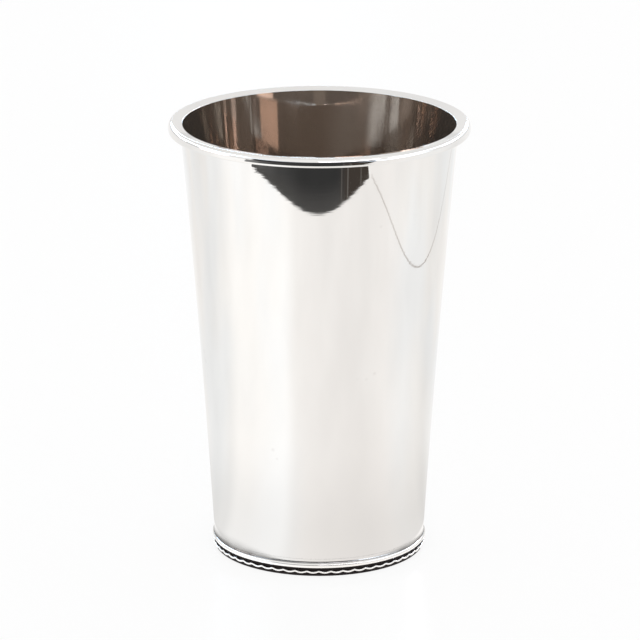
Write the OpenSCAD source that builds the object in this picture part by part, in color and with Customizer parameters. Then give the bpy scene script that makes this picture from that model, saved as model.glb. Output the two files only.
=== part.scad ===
// Tall tapered silver cup. A bowed sheet wall has a rounded wire round its mouth. A floor disc
// closes the wall, and both stand on a foot ring with a plain moulding and a wave of wire.
// All sizes are millimetres. The cup stands on z = 0, and its axis is z.

/* [Wall] */
// Overall height, from the table to the crown of the rim
cup_h = 120.6; // [90:0.1:150]
// Outer radius of the wall at its lower edge
wall_foot_r = 29.0; // [26:0.1:32]
// Outer radius of the wall at its upper edge
wall_top_r = 37.85; // [35:0.05:41]
// How far the side bows in from a straight line
wall_bow = 0.5; // [0:0.05:1.2]
// Thickness of the silver sheet
sheet_t = 0.7; // [0.5:0.05:1.1]
// Radius of the mouth's inner edge
mouth_round = 0.15; // [0.05:0.05:0.3]

/* [Rim wire] */
// How far the rim stands out from the top of the wall
rim_out = 3.2; // [2.5:0.05:4.5]
// Height of the rim at the wall, from its underside to the height of its crown
rim_h = 3.3; // [3:0.05:4.5]
// How far the rim's underside rises from the wall to its edge
rim_under_rise = 0.75; // [0.2:0.05:0.8]
// How far the rim's top falls from its crown to the wall
rim_fall = 0.38; // [0.1:0.02:0.6]
// Height of the rim's outer rounding above its widest point
rim_round_h = 1.8; // [1.2:0.05:2]
// Width of the rim's outer rounding
rim_round_w = 0.95; // [0.6:0.05:1.6]
// Width of the rounding under the rim's edge
rim_under_w = 0.3; // [0.2:0.05:0.8]

/* [Floor] */
// Thickness of the floor disc
floor_t = 0.9; // [0.5:0.05:1.5]
// Gap that the solder fills round the floor disc and behind the wave wire
solder_gap = 0.03; // [0.02:0.01:0.1]

/* [Foot ring] */
// Height of the foot ring under the wall
foot_h = 2.5; // [2.2:0.1:3.2]
// Width of the foot ring
foot_w = 1.6; // [1.4:0.1:3]
// Depth of the ring's dark ground behind the wave
ground_depth = 0.15; // [0.1:0.05:0.4]
// Height of the ledge that carries the wall and the moulding
ledge_h = 0.25; // [0.15:0.05:0.4]
// Edge break under the foot
foot_chamfer = 0.1; // [0.05:0.01:0.2]

/* [Moulding] */
// Height of the plain moulding above the foot ring, with its cove
moulding_h = 2.5; // [2:0.1:3.6]
// How far the moulding stands out from the wall
moulding_out = 0.58; // [0.54:0.01:0.7]
// Radius of the moulding's round face
moulding_round_r = 0.85; // [0.82:0.01:1.1]
// Height of the widest point above the foot ring
moulding_belly_h = 0.55; // [0.5:0.01:0.7]
// Height at which the round face turns into the cove
moulding_turn_h = 1.26; // [1.2:0.01:1.3]

/* [Wave wire] */
// Number of waves round the foot
wave_count = 56; // [40:1:64]
// Width of the flattened wire
wave_wire_w = 0.5; // [0.35:0.05:0.6]
// How far the wire stands out from its ground
wave_wire_out = 0.6; // [0.3:0.05:0.7]
// Height of the wire's middle at the bottom of a wave
wave_low_z = 0.88; // [0.5:0.01:0.9]
// Gap between the wave's points and the ledge
wave_top_gap = 0.45; // [0.05:0.01:0.5]

/* [Smoothness] */
// Straight pieces along the wall's side
wall_steps = 12; // [6:1:24]
// Straight pieces along each rounding
round_steps = 6; // [4:1:10]
// Sections of the wire along each wave, an even number
wave_steps = 6; // [4:2:8]

/* [Hidden] */
$fn = 128;

silver = [0.90, 0.89, 0.86];
bright_silver = [0.94, 0.93, 0.90];
dark_silver = [0.26, 0.23, 0.21];

// The rim's top falls from its crown to the wall, and the wall's upper edge carries it on
rim_r = wall_top_r + rim_out;
crown_r = rim_r - rim_round_w;
wall_top_z = cup_h - rim_fall;
rim_belly_z = cup_h - rim_round_h;
rim_bottom_z = cup_h - rim_h;
rim_edge_bottom_z = rim_bottom_z + rim_under_rise;

floor_top_z = foot_h + floor_t;
moulding_top_z = foot_h + moulding_h;
ground_r = wall_foot_r - ground_depth;
foot_inner_r = ground_r - foot_w;
ledge_z = foot_h - ledge_h;
wave_rise = ledge_z - wave_top_gap - wave_wire_w / 2 - wave_low_z;

// Share of the wall's height at z, and the wall's outer radius and lean there
function rise_share(z) = (z - foot_h) / (wall_top_z - foot_h);
function wall_r(z) = let (s = rise_share(z))
    wall_foot_r + (wall_top_r - wall_foot_r) * s - 4 * wall_bow * s * (1 - s);
function lean(z) =
    atan((wall_top_r - wall_foot_r - 4 * wall_bow * (1 - 2 * rise_share(z))) / (wall_top_z - foot_h));

// The wall's outline has a corner where the moulding ends and where the rim wire starts
wall_zs = [
    foot_h,
    for (i = [0 : wall_steps]) moulding_top_z + (rim_bottom_z - moulding_top_z) * i / wall_steps
];
function outer_point(z) = [wall_r(z), z];
function inner_r(z) = wall_r(z) - sheet_t / cos(lean(z));
function inner_point(z) = [inner_r(z), z];

// Height of the rim's top at a radius, and points along it between two radii
function top_z(r) = cup_h - rim_fall * pow((crown_r - r) / (crown_r - wall_top_r), 2);
function top_points(from, to) = [
    for (i = [0 : round_steps])
        let (r = from + (to - from) * i / round_steps)
        [r, top_z(r)]
];

// Where the rounding of the mouth's inner edge meets the rim's top and the wall's inner face
edge_top_r = inner_r(wall_top_z) + mouth_round;
edge_low_z = top_z(edge_top_r) - mouth_round;

// Points of an elliptical rounding about a centre, between two angles
function rounding(centre, w, h, from, to) = [
    for (i = [0 : round_steps])
        let (a = from + (to - from) * i / round_steps)
        [centre.x + w * cos(a), centre.y + h * sin(a)]
];

function reversed(list) = [for (i = [len(list) - 1 : -1 : 0]) list[i]];

// The sheet goes up the outside, over its upper edge and back down the inside
module wall() {
    outline = [
        for (z = wall_zs) outer_point(z),
        each top_points(wall_top_r, edge_top_r),
        each rounding([edge_top_r, edge_low_z], edge_top_r - inner_r(edge_low_z), mouth_round, 90, 180),
        for (z = reversed(wall_zs)) inner_point(z)
    ];
    color(silver) rotate_extrude() polygon(outline);
}

// The wire goes round the wall's upper edge, and its rounded face runs from there over the crown
module rim_wire() {
    under_centre = [rim_r - rim_under_w, rim_belly_z];
    outline = [
        outer_point(rim_bottom_z),
        each rounding(under_centre, rim_under_w, rim_belly_z - rim_edge_bottom_z, -90, 0),
        each rounding([crown_r, rim_belly_z], rim_round_w, rim_round_h, 0, 90),
        each top_points(crown_r, wall_top_r)
    ];
    color(bright_silver) rotate_extrude() polygon(outline);
}

// The disc stands on the foot ring, inside the wall
module floor_disc() {
    outline = [
        [0, foot_h],
        [inner_r(foot_h) - solder_gap, foot_h],
        [inner_r(floor_top_z) - solder_gap, floor_top_z],
        [0, floor_top_z]
    ];
    color(silver) rotate_extrude() polygon(outline);
}

// The ring carries the wall and the floor on its top face, and its outer face is the wave's ground
module foot_ring() {
    outline = [
        [foot_inner_r, 0],
        [ground_r - foot_chamfer, 0],
        [ground_r, foot_chamfer],
        [ground_r, ledge_z],
        [wall_foot_r, ledge_z],
        [wall_foot_r, foot_h],
        [foot_inner_r, foot_h]
    ];
    color(dark_silver) rotate_extrude() polygon(outline);
}

// Radius of the straight stretch of wall behind the moulding, at a height h above the foot ring
function moulding_back_r(h) =
    wall_foot_r + (wall_r(moulding_top_z) - wall_foot_r) * h / moulding_h;

// How far the moulding stands out at a height h above the foot ring: a round face under a cove
function round_offset(h) =
    moulding_out - moulding_round_r + sqrt(pow(moulding_round_r, 2) - pow(h - moulding_belly_h, 2));
function moulding_offset(h) =
    h <= moulding_turn_h
        ? round_offset(h)
    : round_offset(moulding_turn_h) * pow((moulding_h - h) / (moulding_h - moulding_turn_h), 2);

// The moulding stands on the ledge's edge and lies against the wall
module shoulder_moulding() {
    low_angle = asin(-moulding_belly_h / moulding_round_r);
    high_angle = asin((moulding_turn_h - moulding_belly_h) / moulding_round_r);
    face_hs = [
        for (i = [0 : 2 * round_steps])
            let (a = low_angle + (high_angle - low_angle) * i / (2 * round_steps))
            moulding_belly_h + moulding_round_r * sin(a),
        for (i = [1 : round_steps - 1])
            moulding_turn_h + (moulding_h - moulding_turn_h) * i / round_steps
    ];
    outline = [
        outer_point(foot_h),
        for (h = face_hs) [moulding_back_r(h) + moulding_offset(h), foot_h + h],
        outer_point(moulding_top_z)
    ];
    color(bright_silver) rotate_extrude() polygon(outline);
}

// Height of the wire's middle at an angle: pointed at the top of a wave and round at its bottom
function wave_z(a) = wave_low_z + wave_rise * (1 - abs(sin(a * wave_count / 2)));

// Section of the half-round wire, as shares of its stand-out and its width, with its flat on the ground
wire_section_shares = [[0, -0.5], [0.6, -0.42], [1, 0], [0.6, 0.42], [0, 0.5]];

// The wire follows the wave round the foot ring as one closed band
module wave_wire() {
    rings = wave_count * wave_steps;
    sides = len(wire_section_shares);
    back_r = ground_r + solder_gap;
    face_r = ground_r + wave_wire_out;
    points = [
        for (i = [0 : rings - 1])
            let (a = 360 * i / rings)
            for (s = wire_section_shares)
                let (r = back_r + (face_r - back_r) * s.x)
                [r * sin(a), -r * cos(a), wave_z(a) + wave_wire_w * s.y]
    ];
    faces = [
        for (i = [0 : rings - 1])
            for (k = [0 : sides - 1])
                let (
                    here = i * sides,
                    there = ((i + 1) % rings) * sides,
                    next = (k + 1) % sides
                )
                each [[here + k, here + next, there + next], [here + k, there + next, there + k]]
    ];
    color(bright_silver) polyhedron(points, faces);
}

wall();
rim_wire();
floor_disc();
foot_ring();
shoulder_moulding();
wave_wire();
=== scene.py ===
"""A tall tapered silver julep cup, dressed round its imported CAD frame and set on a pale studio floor."""
import math

import bpy
import numpy as np
from mathutils import Matrix, Vector


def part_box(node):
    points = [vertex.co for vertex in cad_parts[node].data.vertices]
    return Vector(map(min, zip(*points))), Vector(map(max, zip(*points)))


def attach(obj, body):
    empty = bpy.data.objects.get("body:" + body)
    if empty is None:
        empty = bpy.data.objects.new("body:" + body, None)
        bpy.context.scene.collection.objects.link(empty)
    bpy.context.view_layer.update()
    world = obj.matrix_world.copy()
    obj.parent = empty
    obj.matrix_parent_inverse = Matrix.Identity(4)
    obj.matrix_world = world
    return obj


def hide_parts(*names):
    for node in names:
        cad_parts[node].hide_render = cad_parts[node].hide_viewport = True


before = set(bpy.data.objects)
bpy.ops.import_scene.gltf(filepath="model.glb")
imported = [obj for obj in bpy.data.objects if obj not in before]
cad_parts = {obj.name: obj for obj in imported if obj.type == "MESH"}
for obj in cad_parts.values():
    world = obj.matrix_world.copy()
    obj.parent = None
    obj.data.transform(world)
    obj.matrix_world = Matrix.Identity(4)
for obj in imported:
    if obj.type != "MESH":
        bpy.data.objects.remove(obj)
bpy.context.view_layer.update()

MM = 0.001
DEGREES = 180 / math.pi

# Sizes that the frame gives, in metres
wall_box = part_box("wall")
ring_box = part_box("foot_ring")
floor_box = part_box("floor_disc")
moulding_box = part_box("shoulder_moulding")
wave_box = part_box("wave_wire")
rim_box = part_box("rim_wire")
CUP_H = rim_box[1].z
RIM_R = rim_box[1].x
WALL_TOP_Z = wall_box[1].z
FOOT_H = ring_box[1].z
FOOT_R = ring_box[1].x
FLOOR_TOP = floor_box[1].z
MOULDING_TOP = moulding_box[1].z
WAVE_R = wave_box[1].x

# Sizes of the wall and its rim wire
SHEET_T = 0.7 * MM
WALL_BOW = 0.5 * MM
MOUTH_ROUND = 0.13 * MM
RIM_OUT = 3.2 * MM
RIM_H = 3.3 * MM
RIM_UNDER_RISE = 0.75 * MM
RIM_ROUND_H = 1.8 * MM
RIM_ROUND_W = 0.95 * MM
RIM_UNDER_W = 0.3 * MM
RIM_CROWN_W = 0.4 * MM

# Sizes of the foot, its moulding and its wave
FOOT_W = 1.6 * MM
GROUND_DEPTH = 0.15 * MM
LEDGE_H = 0.25 * MM
EDGE_BREAK = 0.08 * MM
MOULDING_OUT = 0.58 * MM
MOULDING_ROUND_R = 0.92 * MM
MOULDING_BELLY_H = 0.55 * MM
MOULDING_TURN_H = 1.26 * MM
COVE_POWER = 2.5
FLOOR_FILLET = 1.6 * MM
WAVES = 56
WAVE_WIRE_W = 0.54 * MM
WAVE_LOW_Z = 1.12 * MM
WAVE_TOP_GAP = 0.52 * MM

# A higher value makes the points of the waves rounder, and the face of their wire flatter
WAVE_POINT_ROUND = 0.10
WIRE_FLATNESS = 1.35

# Points round the cup, and along the curves and the straight lines of its outlines
AROUND = 288
RIM_AROUND = 540
WALL_POINTS = 72
WALL_EDGE_POINTS = 8
MOUTH_POINTS = 14
RIM_UNDER_POINTS = 24
RIM_ROUND_POINTS = 48
RIM_TOP_POINTS = 24
FILLET_POINTS = 16
EDGE_POINTS = 6
BELLY_POINTS = 28
COVE_POINTS = 20
WAVE_POINTS = 28
WIRE_POINTS = 11
LINE_POINTS = 4
SHORT_LINE_POINTS = 3
DISC_LINE_POINTS = 12

# A point that is nearer to the axis than this is on it
ON_AXIS = 1e-9

WALL_TOP_R = RIM_R - RIM_OUT
CROWN_R = RIM_R - RIM_ROUND_W
RIM_SLOPE = (CUP_H - WALL_TOP_Z) / (CROWN_R - WALL_TOP_R - RIM_CROWN_W / 2)
RIM_BELLY_Z = CUP_H - RIM_ROUND_H
RIM_BOTTOM_Z = CUP_H - RIM_H
RIM_EDGE_Z = RIM_BOTTOM_Z + RIM_UNDER_RISE
GROUND_R = FOOT_R - GROUND_DEPTH
RING_INNER_R = GROUND_R - FOOT_W
LEDGE_Z = FOOT_H - LEDGE_H
MOULDING_H = MOULDING_TOP - FOOT_H
QUARTER = math.pi / 2


# Outlines

def wall_r(z):
    """Outer radius of the bowed wall at a height."""
    share = (z - FOOT_H) / (WALL_TOP_Z - FOOT_H)
    return FOOT_R + (WALL_TOP_R - FOOT_R) * share - 4 * WALL_BOW * share * (1 - share)


def wall_lean(z):
    """Angle of the wall from upright at a height."""
    share = (z - FOOT_H) / (WALL_TOP_Z - FOOT_H)
    return np.arctan((WALL_TOP_R - FOOT_R - 4 * WALL_BOW * (1 - 2 * share)) / (WALL_TOP_Z - FOOT_H))


def inner_r(z):
    """Radius of the wall's inner face at a height."""
    return wall_r(z) - SHEET_T / np.cos(wall_lean(z))


def rim_top(start, end, count):
    """Points along the rim's top between two radii: it rounds its crown and slopes to the mouth."""
    r = np.linspace(start, end, count)
    inward = CROWN_R - r
    crown = inward ** 2 / (2 * RIM_CROWN_W)
    slope = inward - RIM_CROWN_W / 2
    return np.stack([r, CUP_H - RIM_SLOPE * np.where(inward < RIM_CROWN_W, crown, slope)], -1)


def line(a, b, count=2):
    """Points along a straight line."""
    return np.linspace(a, b, count)


def arc(centre, w, h, start, end, count):
    """Points of an elliptical arc between two angles in radians."""
    a = np.linspace(start, end, count)
    return np.stack([centre[0] + w * np.cos(a), centre[1] + h * np.sin(a)], -1)


# Meshes

def new_object(name, mesh, node, look):
    """A smooth-shaded piece that rides on the cup and stands for one CAD node."""
    piece = bpy.data.objects.new(name, mesh)
    bpy.context.scene.collection.objects.link(piece)
    mesh.materials.append(look)
    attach(piece, "root")
    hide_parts(node)
    return piece


def new_mesh(name, vertices, faces):
    """A smooth-shaded mesh."""
    mesh = bpy.data.meshes.new(name)
    mesh.from_pydata(vertices, [], faces)
    mesh.shade_smooth()
    return mesh


def join_runs(runs):
    """The points of an outline, its edges as pairs of points, and the normals at each edge's ends.
    The outline goes up the outside, so a normal is its tangent turned to the right."""
    points, edges, normals = [], [], []
    for run in runs:
        tangent = np.gradient(run, axis=0, edge_order=2 if len(run) > 2 else 1)
        normal = np.stack([tangent[:, 1], -tangent[:, 0]], -1)
        normal /= np.linalg.norm(normal, axis=1, keepdims=True)
        start = len(points) - 1 if points else 0
        points += list(run if not points else run[1:])
        edges += [(start + i, start + i + 1) for i in range(len(run) - 1)]
        normals += [(normal[i], normal[i + 1]) for i in range(len(run) - 1)]
    return points, edges, normals


def lathe(name, runs, around=AROUND):
    """A closed turned mesh. Each run is a smooth stretch of its outline, and runs meet at corners,
    unless they meet at one slope. An outline off the axis ends at the point that it starts from."""
    points, edges, normals = join_runs(runs)
    on_axis = [p[0] < ON_AXIS for p in points]
    if not (on_axis[0] and on_axis[-1]):
        points.pop()
        on_axis.pop()
    angle = np.linspace(0, 2 * math.pi, around, endpoint=False)
    cos, sin = np.cos(angle), np.sin(angle)
    vertices, first = [], []
    for (r, z), pole in zip(points, on_axis):
        first.append(len(vertices))
        if pole:
            vertices.append((0.0, 0.0, z))
        else:
            vertices += [(r * c, r * s, z) for c, s in zip(cos, sin)]
    faces, loop_normals = [], []

    def vertex(point, j):
        return first[point] + (0 if on_axis[point] else j % around)

    for (a, b), (na, nb) in zip(edges, normals):
        a, b = a % len(points), b % len(points)
        for j in range(around):
            quad = [(a, j, na), (a, j + 1, na), (b, j + 1, nb), (b, j, nb)]
            if on_axis[a]:
                quad.pop(1)
            if on_axis[b]:
                quad.pop(2)
            faces.append([vertex(p, k) for p, k, _ in quad])
            for _, k, n in quad:
                loop_normals.append((n[0] * cos[k % around], n[0] * sin[k % around], n[1]))
    mesh = new_mesh(name, vertices, faces)
    mesh.normals_split_custom_set(loop_normals)
    mesh.update()
    return mesh


def wall_mesh():
    """The sheet: up the outside, over its upper edge, down the inside and across its lower edge."""
    slope = math.atan(RIM_SLOPE)
    mouth_r = inner_r(WALL_TOP_Z)
    top = rim_top(WALL_TOP_R, mouth_r + MOUTH_ROUND * (1 - math.sin(slope)), WALL_EDGE_POINTS)
    centre = (mouth_r + MOUTH_ROUND, top[-1][1] - MOUTH_ROUND * math.cos(slope))
    outer_z = np.linspace(FOOT_H, WALL_TOP_Z, WALL_POINTS)
    inner_z = np.linspace(centre[1], FOOT_H, WALL_POINTS)
    inside_face = np.stack([inner_r(inner_z), inner_z], -1)
    return lathe("wall_silver", [
        np.stack([wall_r(outer_z), outer_z], -1),
        top,
        arc(centre, MOUTH_ROUND, MOUTH_ROUND, QUARTER + slope, 2 * QUARTER, MOUTH_POINTS),
        inside_face,
        line(inside_face[-1], (FOOT_R, FOOT_H)),
    ])


def rim_mesh():
    """The rounded wire round the wall's upper edge."""
    under_centre = (RIM_R - RIM_UNDER_W, RIM_BELLY_Z)
    low_edge = (wall_r(RIM_BOTTOM_Z), RIM_BOTTOM_Z)
    back_z = np.linspace(WALL_TOP_Z, RIM_BOTTOM_Z, LINE_POINTS)
    return lathe("rim_bead", [
        line(low_edge, (under_centre[0], RIM_EDGE_Z), LINE_POINTS),
        arc(under_centre, RIM_UNDER_W, RIM_BELLY_Z - RIM_EDGE_Z, -QUARTER, 0, RIM_UNDER_POINTS),
        arc((CROWN_R, RIM_BELLY_Z), RIM_ROUND_W, RIM_ROUND_H, 0, QUARTER, RIM_ROUND_POINTS),
        rim_top(CROWN_R, WALL_TOP_R, RIM_TOP_POINTS),
        np.stack([wall_r(back_z), back_z], -1),
    ], RIM_AROUND)


def floor_mesh():
    """The floor disc with the fillet of solder that rounds the inner corner."""
    edge_r = wall_r(FOOT_H) - SHEET_T
    lean = float(wall_lean(FLOOR_TOP))
    centre = (edge_r - FLOOR_FILLET, FLOOR_TOP + FLOOR_FILLET)
    fillet_top = (centre[0] + FLOOR_FILLET * math.cos(lean), centre[1])
    return lathe("floor_plate", [
        line((0, FOOT_H), (edge_r, FOOT_H), DISC_LINE_POINTS),
        line((edge_r, FOOT_H), fillet_top, SHORT_LINE_POINTS),
        arc(centre, FLOOR_FILLET, FLOOR_FILLET, 0, -QUARTER, FILLET_POINTS),
        line((centre[0], FLOOR_TOP), (0, FLOOR_TOP), DISC_LINE_POINTS),
    ])


def ring_mesh():
    """The foot ring, with its edges just broken and a dark ground for the wave."""
    e = EDGE_BREAK
    return lathe("foot_band", [
        line((RING_INNER_R + e, 0), (GROUND_R - e, 0), LINE_POINTS),
        arc((GROUND_R - e, e), e, e, -QUARTER, 0, EDGE_POINTS),
        line((GROUND_R, e), (GROUND_R, LEDGE_Z), LINE_POINTS),
        line((GROUND_R, LEDGE_Z), (FOOT_R, LEDGE_Z)),
        line((FOOT_R, LEDGE_Z), (FOOT_R, FOOT_H)),
        line((FOOT_R, FOOT_H), (RING_INNER_R, FOOT_H), SHORT_LINE_POINTS),
        line((RING_INNER_R, FOOT_H), (RING_INNER_R, e), SHORT_LINE_POINTS),
        arc((RING_INNER_R + e, e), e, e, 2 * QUARTER, 3 * QUARTER, EDGE_POINTS),
    ])


def moulding_mesh():
    """A round face under a shallow cove that runs out on the wall."""
    back_top = wall_r(MOULDING_TOP)

    def face(h, out):
        return np.stack([FOOT_R + (back_top - FOOT_R) * h / MOULDING_H + out, FOOT_H + h], -1)

    low = math.asin(-MOULDING_BELLY_H / MOULDING_ROUND_R)
    high = math.asin((MOULDING_TURN_H - MOULDING_BELLY_H) / MOULDING_ROUND_R)
    a = np.linspace(low, high, BELLY_POINTS)
    out = MOULDING_OUT - MOULDING_ROUND_R * (1 - np.cos(a))
    belly = face(MOULDING_BELLY_H + MOULDING_ROUND_R * np.sin(a), out)
    cove_h = np.linspace(MOULDING_TURN_H, MOULDING_H, COVE_POINTS)
    share = (MOULDING_H - cove_h) / (MOULDING_H - MOULDING_TURN_H)
    cove = face(cove_h, out[-1] * share ** COVE_POWER)
    foot = (FOOT_R, FOOT_H)
    return lathe("shoulder_bead", [
        belly, cove, line(cove[-1], foot, SHORT_LINE_POINTS), line(foot, belly[0])])


def wave_z(angle):
    """Height of the wave's middle: pointed at its tops and round at its lows."""
    rise = LEDGE_Z - WAVE_TOP_GAP - WAVE_WIRE_W / 2 - WAVE_LOW_Z
    blunt = WAVE_POINT_ROUND
    swing = np.sqrt(np.sin(angle * WAVES / 2) ** 2 + blunt ** 2)
    return WAVE_LOW_Z + rise * (1 - (swing - blunt) / (math.sqrt(1 + blunt ** 2) - blunt))


def ribbon(angles, heights, width, back_r, face_r, sides):
    """Vertices and faces of a closed half-round band that follows heights round the cup."""
    step = angles[1] - angles[0]
    slope = (np.roll(heights, -1) - np.roll(heights, 1)) / (2 * step * face_r)
    tilt = np.arctan(slope)
    t = np.linspace(0, math.pi, sides)
    across = -np.cos(t) * width / 2
    out = back_r + (face_r - back_r) * np.minimum(1, WIRE_FLATNESS * np.sin(t)) ** 0.5
    vertices = []
    for a, z, lean in zip(angles, heights, tilt):
        for off, r in zip(across, out):
            b = a - off * math.sin(lean) / face_r
            vertices.append((r * math.sin(b), -r * math.cos(b), z + off * math.cos(lean)))
    faces = []
    count = len(angles)
    for i in range(count):
        j = (i + 1) % count
        for k in range(sides):
            n = (k + 1) % sides
            faces.append((i * sides + k, j * sides + k, j * sides + n, i * sides + n))
    return vertices, faces


def wave_mesh():
    """The waved wire, soldered to the foot ring's ground."""
    angles = np.linspace(0, 2 * math.pi, WAVES * WAVE_POINTS, endpoint=False)
    mesh = new_mesh("wave_ribbon", *ribbon(
        angles, wave_z(angles), WAVE_WIRE_W, GROUND_R, WAVE_R, WIRE_POINTS))
    mesh.update()
    return mesh


# Node trees

# Sockets of the Mix node when it mixes colours
MIX_A = 6
MIX_B = 7
MIX_RESULT = 2


class Nodes:
    """A short way to write a node tree."""

    def __init__(self, tree):
        self.tree = tree
        tree.nodes.clear()

    def add(self, kind, inputs=None, **settings):
        made = self.tree.nodes.new(kind)
        for key, value in settings.items():
            setattr(made, key, value)
        for key, value in (inputs or {}).items():
            self.put(made.inputs[key], value)
        return made

    def put(self, socket, value):
        if isinstance(value, bpy.types.NodeSocket):
            self.tree.links.new(value, socket)
        else:
            socket.default_value = value

    def math(self, operation, a, b=0.0):
        return self.add("ShaderNodeMath", {0: a, 1: b}, operation=operation).outputs[0]

    def plus(self, a, b):
        return self.math("ADD", a, b)

    def minus(self, a, b):
        return self.math("SUBTRACT", a, b)

    def times(self, a, b):
        return self.math("MULTIPLY", a, b)

    def invert(self, value):
        """One minus a value."""
        return self.minus(1.0, value)

    def remap(self, value, low, high, to_low, to_high):
        made = self.add("ShaderNodeMapRange", {
            "Value": value, "From Min": low, "From Max": high, "To Min": to_low, "To Max": to_high})
        return made.outputs["Result"]

    def smooth(self, value, low, high):
        """0 below the low end, 1 above the high end and a smooth step between them."""
        made = self.add("ShaderNodeMapRange", {"Value": value, "From Min": low, "From Max": high})
        made.interpolation_type = "SMOOTHSTEP"
        return made.outputs["Result"]

    def span(self, value, low, high, soft):
        """1 between two values, with soft ends."""
        rise = self.smooth(value, low - soft / 2, low + soft / 2)
        return self.times(rise, self.invert(self.smooth(value, high - soft / 2, high + soft / 2)))

    def mix(self, factor, a, b, blend="MIX"):
        made = self.add("ShaderNodeMix", data_type="RGBA", blend_type=blend)
        self.put(made.inputs["Factor"], factor)
        self.put(made.inputs[MIX_A], a)
        self.put(made.inputs[MIX_B], b)
        return made.outputs[MIX_RESULT]

    def grained(self, grain):
        """Object coordinates scaled by a grain along each axis."""
        coords = self.add("ShaderNodeTexCoord").outputs["Object"]
        return self.add("ShaderNodeMapping", {"Vector": coords, "Scale": grain}).outputs["Vector"]

    def noise(self, grain, detail=2.0, roughness=0.5):
        made = self.add("ShaderNodeTexNoise", {
            "Vector": self.grained(grain), "Scale": 1.0, "Detail": detail, "Roughness": roughness})
        return made.outputs["Fac"]

    def place(self):
        """The x, y and z of the surface point, in the object's own metres."""
        coords = self.add("ShaderNodeTexCoord").outputs["Object"]
        return self.add("ShaderNodeSeparateXYZ", {0: coords}).outputs

    def radius(self, x, y):
        """Distance from the cup's axis."""
        return self.math("SQRT", self.plus(self.times(x, x), self.times(y, y)))

    def degrees(self, x, y):
        """Angle in degrees from the y axis towards the x axis."""
        return self.times(self.math("ARCTAN2", x, y), DEGREES)

    def azimuth(self, x, y):
        """Angle in degrees from the camera's side, towards the right."""
        return self.degrees(x, self.times(y, -1.0))

    def azimuth_ramp(self, azimuth, stops):
        """A grey that follows the azimuth, from pairs of azimuth and level."""
        made = self.add("ShaderNodeValToRGB", {0: self.remap(azimuth, -180, 180, 0.0, 1.0)})
        ramp = made.color_ramp
        ramp.interpolation = "EASE"
        while len(ramp.elements) < len(stops):
            ramp.elements.new(0.5)
        for element, (degrees, level) in zip(ramp.elements, stops):
            element.position = (degrees + 180) / 360
            element.color = (level, level, level, 1)
        return made.outputs[0]

    def bump(self, height, distance, normal=None):
        inputs = {"Height": height, "Distance": distance, "Strength": 1.0}
        if normal is not None:
            inputs["Normal"] = normal
        return self.add("ShaderNodeBump", inputs).outputs["Normal"]


def material(name):
    """A new material and its empty node tree."""
    made = bpy.data.materials.new(name)
    made.use_nodes = True
    return made, Nodes(made.node_tree)


def finish_material(n, inputs):
    """Close a material's tree with one shader."""
    surface = n.add("ShaderNodeBsdfPrincipled", inputs)
    n.add("ShaderNodeOutputMaterial", {"Surface": surface.outputs[0]})


# The silver

LIGHT_SILVER = (0.965, 0.955, 0.940, 1)
TONED_SILVER = (0.945, 0.925, 0.905, 1)
INSIDE_SILVER = (0.44, 0.385, 0.34, 1)
INSIDE_TONED = (0.41, 0.355, 0.31, 1)
SPECK_TONE = (0.55, 0.52, 0.50, 1)
# Near black for oxide, used also as painted shade in the foot's recesses and over the moulding's crevice
OXIDE_AND_SHADE_TONE = (0.016, 0.012, 0.012, 1)

# Grain of each pattern along x, y and z, in cells per metre
TONING_GRAIN = (22, 22, 14)
POLISH_GRAIN = (60, 60, 400)
LINE_GRAIN = (70, 70, 1400)
UNEVEN_GRAIN = (26, 26, 30)
SPECK_GRAIN = (260, 260, 260)
SPECK_GROUP_GRAIN = (40, 40, 55)
PATCH_GRAIN = (160, 160, 500)
STAIN_GRAIN = (900, 900, 900)
PIT_GRAIN = (2600, 2600, 2600)

# Detail of a pattern: a low value leaves its spots smooth, and a higher one breaks them up
SMOOTH_DETAIL = 1.0
FINE_DETAIL = 3.0
LINE_HARSHNESS = 0.6

# The values of a pattern between which its effect goes from none to full
MIDDLE = (0.3, 0.7)
TONING_RANGE = (0.35, 0.7)
SPECK_GROUP_RANGE = (0.66, 0.72)
SPECK_EDGE_RANGE = (0.05, 0.2)

# Roughness of the polished faces, and the share of the lines' relief on the rim and the moulding
OUTSIDE_ROUGH = 0.02
INSIDE_ROUGH = 0.02
BRIGHT_ROUGH = 0.05
BRIGHT_LINES = 0.5

# Relief of the lines, of the sheet's unevenness and of the specks, and how far the polish varies
LINE_DEPTH = 0.0012 * MM
UNEVEN_DEPTH = 0.002 * MM
SPECK_DEPTH = 0.002 * MM
POLISH_CHANGE = 0.3
SPECK_COVER = 0.15

# Inside: shares of that relief, the share of the light that it scatters, and its duller right side
INSIDE_LINES = 0.1
INSIDE_UNEVEN = 0.1
INSIDE_HAZE = 0.10
INSIDE_DULL_X = 16 * MM
INSIDE_DULL = 0.05

# How far under the wall's top the polish of its edge goes on, down the inner face
INSIDE_TOP = 0.4 * MM

# Crevice dirt with painted shade above it: how far the shade reaches up, and how much further on each side
CREVICE_Z = FOOT_H + MOULDING_TURN_H
CREVICE_BELOW = 0.06 * MM
SHADE_REACH = 0.6 * MM
SHADE_LEFT = 3.4 * MM
SHADE_LEFT_X = (6 * MM, 24 * MM)
SHADE_RIGHT = 1.5 * MM
SHADE_RIGHT_X = (12 * MM, 26 * MM)
SHADE_POWER = 2.0
SHADE_THIN = 0.65
DIRT_AND_SHADE_MOST = 0.92
CREVICE_ROUGH = 0.25

# How far out from the ring's ground the silver is dark with oxide and painted shade, and from where on it
# is bright
WAVE_PATINA_AND_SHADE = (0.08 * MM, 0.20 * MM)
GROUND_PATINA_AND_SHADE = (0.1 * MM, 0.9 * MM)
STAIN_REACH = 0.03 * MM
PIT_DEPTH = 0.006 * MM
OXIDE_ROUGH = 0.45
WORN_ROUGH = 0.14
OXIDE_METALLIC = 0.5
PATINA_GLOSS = 0.2


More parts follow.
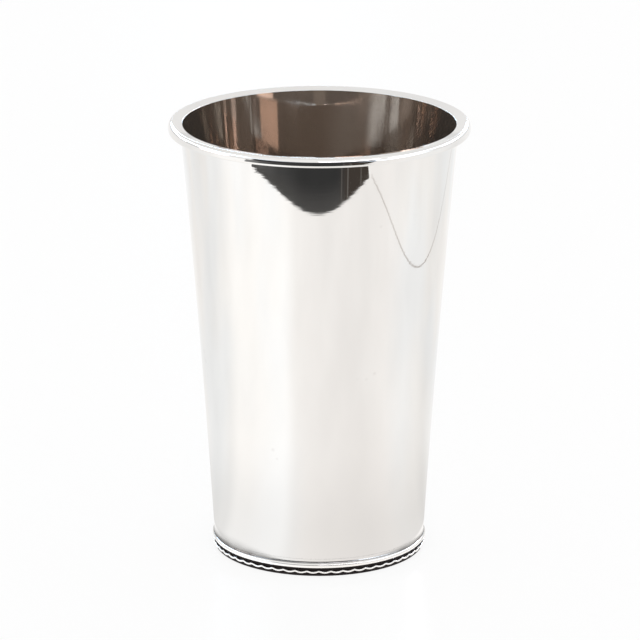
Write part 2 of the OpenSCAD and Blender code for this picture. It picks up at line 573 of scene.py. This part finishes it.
def silver(name, light, dark, rough, line_share=1.0, uneven_share=1.0, haze=0.0):
    """Polished silver: fine lines run round the cup, with faint toning and a few specks. Haze is the
    share of the light that it scatters. Returns the material, its nodes and its finish, which the
    caller may change before it closes the tree."""
    made, n = material(name)
    toning = n.noise(TONING_GRAIN, FINE_DETAIL)
    colour = n.mix(n.remap(toning, *TONING_RANGE, 0.0, 1.0), light, dark)
    polish = n.noise(POLISH_GRAIN, FINE_DETAIL)
    roughness = n.remap(polish, *MIDDLE, rough * (1 - POLISH_CHANGE), rough * (1 + POLISH_CHANGE))
    cells = n.add("ShaderNodeTexVoronoi", {"Vector": n.grained(SPECK_GRAIN), "Scale": 1.0})
    group = n.smooth(n.noise(SPECK_GROUP_GRAIN, SMOOTH_DETAIL), *SPECK_GROUP_RANGE)
    speck = n.times(group, n.invert(n.smooth(cells.outputs["Distance"], *SPECK_EDGE_RANGE)))
    colour = n.mix(n.times(speck, SPECK_COVER), colour, SPECK_TONE)
    normal = n.bump(n.noise(LINE_GRAIN, roughness=LINE_HARSHNESS), line_share * LINE_DEPTH)
    normal = n.bump(n.noise(UNEVEN_GRAIN, SMOOTH_DETAIL), uneven_share * UNEVEN_DEPTH, normal)
    normal = n.bump(speck, SPECK_DEPTH, normal)
    return made, n, {"Base Color": colour, "Metallic": 1.0 - haze, "Roughness": roughness, "Normal": normal}


def outer_silver(name, rough, line_share=1.0):
    """Silver with dirt left in the crevice over the foot's moulding, and a painted shade that fades up from
    it, widest on the left."""
    made, n, finish = silver(name, LIGHT_SILVER, TONED_SILVER, rough, line_share)
    x, _, z = n.place()
    left = n.times(n.smooth(n.times(x, -1.0), *SHADE_LEFT_X), SHADE_LEFT)
    right = n.times(n.smooth(x, *SHADE_RIGHT_X), SHADE_RIGHT)
    reach = n.plus(n.plus(left, right), SHADE_REACH)
    up = n.math("DIVIDE", n.minus(z, CREVICE_Z), reach)
    fade = n.math("POWER", n.math("MAXIMUM", n.invert(up), 0.0), SHADE_POWER)
    fade = n.times(fade, n.remap(n.noise(PATCH_GRAIN), *MIDDLE, SHADE_THIN, 1.0))
    above = n.smooth(z, CREVICE_Z - CREVICE_BELOW, CREVICE_Z)
    cover = n.times(n.math("MINIMUM", fade, DIRT_AND_SHADE_MOST), above)
    # The crevice's dirt and the painted shade above it darken the silver towards near black
    finish["Base Color"] = n.mix(cover, finish["Base Color"], OXIDE_AND_SHADE_TONE)
    finish["Roughness"] = n.plus(finish["Roughness"], n.times(cover, CREVICE_ROUGH))
    finish_material(n, finish)
    return made


def inner_silver(name, rough):
    """Toned silver, a little duller on its right."""
    made, n, finish = silver(
        name, INSIDE_SILVER, INSIDE_TONED, rough, INSIDE_LINES, INSIDE_UNEVEN, INSIDE_HAZE)
    x, _, _ = n.place()
    dull = n.times(n.smooth(x, 0.0, INSIDE_DULL_X), INSIDE_DULL)
    finish["Roughness"] = n.plus(finish["Roughness"], dull)
    finish_material(n, finish)
    return made


def patina_and_shade(name, dark_out, bright_out):
    """Silver that is bright where it stands proud of the ring's ground, and dark in its recesses with oxide
    and painted shade."""
    made, n = material(name)
    x, y, _ = n.place()
    stain = n.remap(n.noise(STAIN_GRAIN, FINE_DETAIL), *MIDDLE, -STAIN_REACH, STAIN_REACH)
    # Near the ring's ground the silver is painted dark, as oxide and as shade in the recess
    worn = n.smooth(n.plus(n.radius(x, y), stain), GROUND_R + dark_out, GROUND_R + bright_out)
    finish_material(n, {
        "Base Color": n.mix(worn, OXIDE_AND_SHADE_TONE, LIGHT_SILVER),
        "Metallic": n.remap(worn, 0.0, 1.0, OXIDE_METALLIC, 1.0),
        "Roughness": n.remap(worn, 0.0, 1.0, OXIDE_ROUGH, WORN_ROUGH),
        "Specular IOR Level": PATINA_GLOSS,
        "Normal": n.bump(n.noise(PIT_GRAIN), PIT_DEPTH)})
    return made


outside = outer_silver("polished_silver", OUTSIDE_ROUGH)
inside = inner_silver("brushed_inside", INSIDE_ROUGH)
bright = outer_silver("bright_mouldings", BRIGHT_ROUGH, BRIGHT_LINES)
ornament = patina_and_shade("ornament_silver", *WAVE_PATINA_AND_SHADE)
oxide_and_shade = patina_and_shade("oxide_and_shade_ground", *GROUND_PATINA_AND_SHADE)


# The cup

def add_second_look(piece, look, is_there):
    """Give a piece a second material on the faces whose radius and height pass a test."""
    piece.data.materials.append(look)
    for face in piece.data.polygons:
        centre = face.center
        if is_there(math.hypot(centre.x, centre.y), centre.z):
            face.material_index = 1


def is_inside(r, z):
    """Whether a face of the wall is on its inner side, under the polished edge."""
    return r < wall_r(z) - SHEET_T / 2 and z < WALL_TOP_Z - INSIDE_TOP


def is_under_foot(r, _):
    """Whether a face of the foot ring, at any height, is further in than its dark ground."""
    return r < GROUND_R - EDGE_BREAK


wall = new_object("wall_silver", wall_mesh(), "wall", outside)
add_second_look(wall, inside, is_inside)
new_object("rim_bead", rim_mesh(), "rim_wire", bright)
new_object("floor_plate", floor_mesh(), "floor_disc", inside)
# The foot ring's ground is dark with oxide and painted shade
foot_band = new_object("foot_band", ring_mesh(), "foot_ring", oxide_and_shade)
add_second_look(foot_band, outside, is_under_foot)
new_object("shoulder_bead", moulding_mesh(), "shoulder_moulding", bright)
new_object("wave_ribbon", wave_mesh(), "wave_wire", ornament)


# The floor: white paper. Only the silver's reflections show that it ends in front of the cup.
# Azimuths are in degrees from the camera's side, towards the right.

FLOOR_R = 6.0
FLOOR_Z = -0.02 * MM

# The paper as the camera sees it. Its share is what takes the cup's shadow, and the rest glows.
WHITE = (1, 1, 1, 1)
PAPER_LOW = (0.93, 0.93, 0.925, 1)
PAPER_HIGH = (0.96, 0.96, 0.955, 1)
PAPER_GRAIN = (300, 300, 300)
PAPER_ROUGH = 0.25
PAPER_GLOSS = 0.25
PAPER_SHARE = 0.14

# The paper in reflections: its level round the cup as pairs of azimuth and level, and its tints
PAPER_LEVELS = (
    (-180, 1.0), (-145, 0.90), (-118, 0.85), (-95, 0.90), (-76, 1.02), (-32, 1.04), (-18, 0.95),
    (10, 0.885), (35, 0.865), (65, 0.905), (100, 0.895), (120, 0.84), (150, 0.92), (180, 1.0))
WARM_TINT = (1, 0.985, 0.965, 1)
COOL_TINT = (0.985, 0.995, 1, 1)
TINT_GRAIN = (7, 7, 7)
TINT_RANGE = (0.35, 0.65)
FRONT_TINT = (1.0, 0.978, 0.958, 1)
FRONT_TINT_SPAN = (-20, 70, 30)

# Its strength there: lower near the cup as a painted shade, higher under the foot as a painted glow, and
# uneven in soft clouds
NEAR_R = 0.05
FAR_R = 0.11
NEAR_SHADE = 0.10
FOOT_GLOW_R = 0.035
FOOT_GLOW_EDGE = 2 * MM
FOOT_GLOW = 0.16
CLOUD_GRAIN = (11, 11, 11)
CLOUD_CHANGE = 0.035

# The paper's front edge is a curve of the fourth degree in x, cut off on the left by an azimuth and
# on the right by a line that slants out beyond the far edge
FRONT_EDGE_Y = -0.2565
FRONT_EDGE_MID = 0.004
FRONT_EDGE_CURVE = 0.93
FRONT_EDGE_TURN = 8.0
FRONT_EDGE_X = 0.186
FRONT_EDGE_LEFT = -56
FAR_EDGE_Y = -0.30
FAR_EDGE_TURN = 0.93

# The seam on the right is straight behind its turn and bends in towards the cup in front of it
SEAM_X = 0.236
SEAM_TURN_Y = -0.03
SEAM_END_Y = -0.212
SEAM_CURVE = 7.0
SEAM_POWER = 3.0
SEAM_W = 0.0012
SEAM_TONE = (0.26, 0.21, 0.17, 1)
SEAM_COVER = 0.8

# The dark room before the paper, with the lit edges of stands as pairs of azimuth and level
ROOM_LEVELS = (
    (-60, 0.26), (-50, 0.20), (-42, 0.095), (-32, 0.052),
    (-12, 0.034), (12, 0.034), (30, 0.045), (45, 0.07))
ROOM_EDGE_W = 0.022
ROOM_EDGE_TONE = (0.070, 0.068, 0.066, 1)
ROOM_BROWN = (0.050, 0.041, 0.035, 1)
ROOM_BROWN_RANGE = (14, 24)
STANDS = ((17.8, 0.5), (22.8, 0.9), (33.5, 0.6))
STAND_HALF_W = 0.5
STAND_SOFT = 0.5
STAND_TONE = (0.13, 0.12, 0.11, 1)


def seen_paper(n):
    """The paper as the camera sees it."""
    sheet = n.mix(n.noise(PAPER_GRAIN), PAPER_LOW, PAPER_HIGH)
    paper = n.add("ShaderNodeBsdfPrincipled", {
        "Base Color": sheet, "Roughness": PAPER_ROUGH, "Specular IOR Level": PAPER_GLOSS})
    glow = n.add("ShaderNodeEmission", {"Color": WHITE, "Strength": 1.0})
    both = n.add("ShaderNodeMixShader", {0: PAPER_SHARE, 1: glow.outputs[0], 2: paper.outputs[0]})
    return both.outputs[0]


def mirrored_colour(n, azimuth):
    """Colour of the paper in reflections."""
    tint = n.mix(n.smooth(n.noise(TINT_GRAIN, SMOOTH_DETAIL), *TINT_RANGE), WARM_TINT, COOL_TINT)
    tint = n.mix(n.span(azimuth, *FRONT_TINT_SPAN), tint, FRONT_TINT)
    return n.mix(1.0, n.azimuth_ramp(azimuth, PAPER_LEVELS), tint, "MULTIPLY")


def mirrored_strength(n, x, y):
    """Strength of the paper in reflections."""
    r = n.radius(x, y)
    near = n.invert(n.smooth(r, NEAR_R, FAR_R))
    under_foot = n.invert(n.smooth(r, FOOT_GLOW_R, FOOT_GLOW_R + FOOT_GLOW_EDGE))
    # A painted shade near the cup and a painted glow under the foot
    strength = n.invert(n.times(near, NEAR_SHADE))
    strength = n.plus(strength, n.times(under_foot, NEAR_SHADE + FOOT_GLOW))
    cloud = n.noise(CLOUD_GRAIN, FINE_DETAIL)
    return n.times(strength, n.remap(cloud, *MIDDLE, 1 - CLOUD_CHANGE, 1 + CLOUD_CHANGE))


def seam_cover(n, x, y):
    """How much the seam covers the paper."""
    bent = n.math("MAXIMUM", n.minus(SEAM_TURN_Y, y), 0.0)
    seam_x = n.minus(SEAM_X, n.times(n.math("POWER", bent, SEAM_POWER), SEAM_CURVE))
    seam = n.math("LESS_THAN", n.math("ABSOLUTE", n.minus(x, seam_x)), SEAM_W / 2)
    seam = n.times(seam, n.math("GREATER_THAN", y, SEAM_END_Y))
    return n.times(seam, SEAM_COVER)


def room_depth(n, x, y):
    """How far a point lies in front of the paper's front edge."""
    from_mid = n.minus(x, FRONT_EDGE_MID)
    squared = n.times(from_mid, from_mid)
    edge = n.plus(n.times(squared, FRONT_EDGE_CURVE), FRONT_EDGE_Y)
    edge = n.plus(edge, n.times(n.times(squared, squared), FRONT_EDGE_TURN))
    return n.minus(edge, y)


def room_cover(n, x, y, azimuth, depth):
    """1 where the dark room takes the paper's place."""
    beyond = n.math("MAXIMUM", n.minus(FAR_EDGE_Y, y), 0.0)
    right_edge = n.plus(n.times(beyond, FAR_EDGE_TURN), FRONT_EDGE_X)
    cover = n.times(n.math("GREATER_THAN", depth, 0.0), n.math("LESS_THAN", x, right_edge))
    return n.times(cover, n.math("GREATER_THAN", azimuth, FRONT_EDGE_LEFT))


def room_colour(n, azimuth, depth):
    """Colour of the dark room: a little lighter along the paper, brown on the right, with stands."""
    room = n.azimuth_ramp(azimuth, ROOM_LEVELS)
    room = n.mix(n.invert(n.smooth(depth, 0.0, ROOM_EDGE_W)), room, ROOM_EDGE_TONE)
    room = n.mix(n.smooth(azimuth, *ROOM_BROWN_RANGE), room, ROOM_BROWN)
    for middle, level in STANDS:
        stand = n.span(azimuth, middle - STAND_HALF_W, middle + STAND_HALF_W, STAND_SOFT)
        room = n.mix(n.times(stand, level), room, STAND_TONE)
    return room


def floor_material():
    """Plain white paper for the camera, and the paper with its edge, seam and room for reflections."""
    made, n = material("white_paper")
    x, y, _ = n.place()
    azimuth = n.azimuth(x, y)
    depth = room_depth(n, x, y)
    lit = n.mix(seam_cover(n, x, y), mirrored_colour(n, azimuth), SEAM_TONE)
    lit = n.mix(room_cover(n, x, y, azimuth, depth), lit, room_colour(n, azimuth, depth))
    mirrored = n.add("ShaderNodeEmission", {"Color": lit, "Strength": mirrored_strength(n, x, y)})
    path = n.add("ShaderNodeLightPath").outputs
    both = n.add("ShaderNodeMixShader", {
        0: path["Is Glossy Ray"], 1: seen_paper(n), 2: mirrored.outputs[0]})
    n.add("ShaderNodeOutputMaterial", {"Surface": both.outputs[0]})
    return made


def make_floor():
    """A square of paper just under the foot."""
    mesh = bpy.data.meshes.new("studio_floor")
    corners = [(x, y, FLOOR_Z) for x, y in (
        (-FLOOR_R, -FLOOR_R), (FLOOR_R, -FLOOR_R), (FLOOR_R, FLOOR_R), (-FLOOR_R, FLOOR_R))]
    mesh.from_pydata(corners, [], [(0, 1, 2, 3)])
    mesh.materials.append(floor_material())
    floor = bpy.data.objects.new("studio_floor", mesh)
    bpy.context.scene.collection.objects.link(floor)


# The studio round the cup, which only reflections see. Azimuths run from the camera's side, and
# bearings from the far side, both in degrees towards the right.

SKY = (0.80, 0.80, 0.795, 1)
HORIZON = (0.83, 0.828, 0.82, 1)
HORIZON_RANGE = (17, 24)
FRONT_WHITE = (0.90, 0.895, 0.885, 1)
ROOM_DARK = (0.040, 0.038, 0.040, 1)
LOW_SLOT = (0.38, 0.38, 0.38, 1)
MID_SLOT = (0.72, 0.72, 0.715, 1)
DIM_LAMP = (1.2, 1.35, 1.5, 1)
GREY_LAMP = (2.3, 2.6, 3.0, 1)
COOL_LAMP = (5.4, 7.4, 9.6, 1)
WARM_LAMP = (5.7, 5.1, 5.0, 1)
HIGH_COOL_LAMP = (3.2, 4.4, 5.8, 1)
HIGH_WARM_LAMP = (6.2, 6.0, 6.6, 1)
BRIGHT_LAMP = (19.0, 20.0, 24.0, 1)
LOW_LAMP = (5.5, 6.0, 7.0, 1)

# How soft the bottom and top of a panel are, and its ends where nothing else is said, in degrees
EDGE = 0.4
END = 1

# Panels of the tent: the colour, what its turn is measured by, its left and right ends, its bottom
# and top, how soft its ends are, and how soft its bottom and top. A panel covers those before it.
PANELS = (
    (FRONT_WHITE, "azimuth", -80, 70, 18, 50, 30, 12),
    (ROOM_DARK, "azimuth", -51, 43, -5, 13, 4, 1),
    (LOW_SLOT, "bearing", -98, 70, 4.6, 7.3, 30, EDGE),
    (MID_SLOT, "bearing", -10, 10, 4.4, 7.5, 6, EDGE),
    (WARM_LAMP, "bearing", -108, -79, 3.5, 5.9, 3, EDGE),
    (GREY_LAMP, "bearing", 95, 140, 3.5, 7.3, 30, EDGE),
    (DIM_LAMP, "bearing", -150, -40, 13.3, 17.4, 60, EDGE),
    (COOL_LAMP, "bearing", -50, -20, 12.95, 15.3, 30, EDGE),
    (COOL_LAMP, "bearing", -24, -6.5, 12.95, 15.3, END, EDGE),
    (COOL_LAMP, "bearing", 6.5, 32, 10.4, 12.6, END, EDGE),
    (COOL_LAMP, "bearing", -2.2, 0.4, 11.8, 13.2, END, EDGE),
    (GREY_LAMP, "bearing", 34, 70, 8.6, 11.3, 24, EDGE),
    (WARM_LAMP, "bearing", 26, 72, 12.9, 16.6, END, EDGE),
    (HIGH_COOL_LAMP, "azimuth", -130, -58, 17.6, 20.6, 14, EDGE),
    (HIGH_WARM_LAMP, "azimuth", 0, 47, 20.6, 23.0, 4, EDGE),
    (GREY_LAMP, "azimuth", 56, 135, 16.8, 22.0, 10, EDGE),
    (GREY_LAMP, "bearing", -80, -24, 15.6, 18.2, 20, EDGE),
    (BRIGHT_LAMP, "bearing", 43, 56, 16.4, 18.7, END, EDGE),
    (BRIGHT_LAMP, "bearing", 7.5, 16, 14.6, 16.6, END, EDGE),
    (LOW_LAMP, "bearing", -59, -45, 9.5, 11.0, END, EDGE),
    (LOW_LAMP, "bearing", -84, -77, 8.5, 9.3, END, EDGE),
)


def make_world():
    """A pale tent with a dark opening for the camera, and dark slots and lamps low round it."""
    world = bpy.data.worlds.new("tent")
    bpy.context.scene.world = world
    world.use_nodes = True
    n = Nodes(world.node_tree)
    direction = n.add("ShaderNodeTexCoord").outputs["Generated"]
    x, y, z = n.add("ShaderNodeSeparateXYZ", {0: direction}).outputs
    turns = {"azimuth": n.azimuth(x, y), "bearing": n.degrees(x, y)}
    height = n.times(n.math("ARCSINE", z), DEGREES)
    tent = n.mix(n.smooth(height, *HORIZON_RANGE), HORIZON, SKY)
    for colour, turn, left, right, bottom, top, soft_ends, soft_height in PANELS:
        across = n.span(turns[turn], left, right, soft_ends)
        tent = n.mix(n.times(across, n.span(height, bottom, top, soft_height)), tent, colour)
    path = n.add("ShaderNodeLightPath").outputs
    seen = n.mix(path["Is Glossy Ray"], WHITE, tent)
    background = n.add("ShaderNodeBackground", {"Color": seen, "Strength": 1.0})
    n.add("ShaderNodeOutputWorld", {"Surface": background.outputs[0]})


make_floor()
make_world()


# The camera, as the photograph's ellipses give it

CAMERA_PLACE = (0.0, -1.14545, 0.40859)
CAMERA_PITCH = math.radians(16.733)
CAMERA_YAW = math.radians(0.0112)
CAMERA_ROLL = math.radians(0.07)
FOCAL_PX = 4354.1
IMAGE_PX = 640
SENSOR_MM = 36.0
CLIP_NEAR = 0.05
CLIP_FAR = 20.0


def make_camera():
    data = bpy.data.cameras.new("photo_camera")
    data.sensor_width = SENSOR_MM
    data.lens = FOCAL_PX / IMAGE_PX * SENSOR_MM
    data.clip_start = CLIP_NEAR
    data.clip_end = CLIP_FAR
    camera = bpy.data.objects.new("photo_camera", data)
    ahead = Vector((math.sin(CAMERA_YAW) * math.cos(CAMERA_PITCH),
                    math.cos(CAMERA_YAW) * math.cos(CAMERA_PITCH),
                    -math.sin(CAMERA_PITCH)))
    level = Vector((math.cos(CAMERA_YAW), -math.sin(CAMERA_YAW), 0))
    upward = level.cross(ahead)
    right = math.cos(CAMERA_ROLL) * level + math.sin(CAMERA_ROLL) * upward
    top = math.cos(CAMERA_ROLL) * upward - math.sin(CAMERA_ROLL) * level
    turn = Matrix((right, top, -ahead)).transposed().to_4x4()
    camera.matrix_world = Matrix.Translation(CAMERA_PLACE) @ turn
    bpy.context.scene.collection.objects.link(camera)
    bpy.context.scene.camera = camera


make_camera()
bpy.context.scene.view_settings.view_transform = "Standard"
